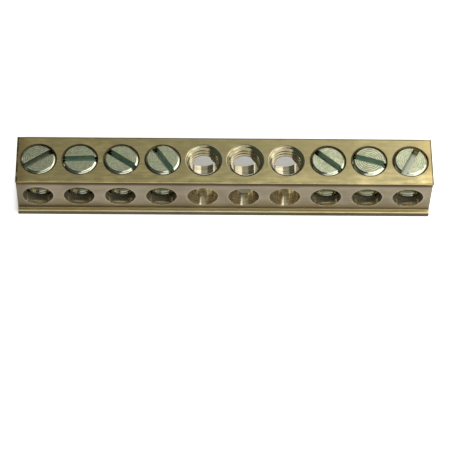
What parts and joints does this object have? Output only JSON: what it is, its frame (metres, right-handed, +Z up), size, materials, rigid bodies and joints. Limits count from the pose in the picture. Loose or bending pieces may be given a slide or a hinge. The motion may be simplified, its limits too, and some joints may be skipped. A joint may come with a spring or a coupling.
{
  "type": "neutral terminal bar",
  "caption": "Extruded brass bar with a row of wire holes through it, each clamped by a slotted headless screw from the top, to join neutral wires.",
  "frame": {"origin": "middle of the bar's bottom face", "axes": "+X along the bar with terminal 1 at its -X end, -Y the front, +Z up out of the top face"},
  "size_m": [0.096, 0.013, 0.0141],
  "materials": {
    "brass_bar": "drawn, tarnished",
    "zinc_screws": "zinc plated, turned"
  },
  "bodies": {
    "bar": {"terminal_bar": "brass_bar"},
    "screw_1": {"terminal_screw_1": "zinc_screws"},
    "screw_2": {"terminal_screw_2": "zinc_screws"},
    "screw_3": {"terminal_screw_3": "zinc_screws"},
    "screw_4": {"terminal_screw_4": "zinc_screws"},
    "screw_8": {"terminal_screw_8": "zinc_screws"},
    "screw_9": {"terminal_screw_9": "zinc_screws"},
    "screw_10": {"terminal_screw_10": "zinc_screws"}
  },
  "joints": [
    {"name": "screw_1_travel", "type": "slide", "parent": "bar", "child": "screw_1", "axis": [0, 0, 1], "range_m": [-0.00056, 0.00583]},
    {"name": "screw_2_travel", "type": "slide", "parent": "bar", "child": "screw_2", "axis": [0, 0, 1], "range_m": [-0.00061, 0.00579]},
    {"name": "screw_3_travel", "type": "slide", "parent": "bar", "child": "screw_3", "axis": [0, 0, 1], "range_m": [-0.00067, 0.00573]},
    {"name": "screw_4_travel", "type": "slide", "parent": "bar", "child": "screw_4", "axis": [0, 0, 1], "range_m": [-0.00072, 0.00568]},
    {"name": "screw_8_travel", "type": "slide", "parent": "bar", "child": "screw_8", "axis": [0, 0, 1], "range_m": [-0.00056, 0.00583]},
    {"name": "screw_9_travel", "type": "slide", "parent": "bar", "child": "screw_9", "axis": [0, 0, 1], "range_m": [-0.00067, 0.00573]},
    {"name": "screw_10_travel", "type": "slide", "parent": "bar", "child": "screw_10", "axis": [0, 0, 1], "range_m": [-0.00056, 0.00583]}
  ]
}
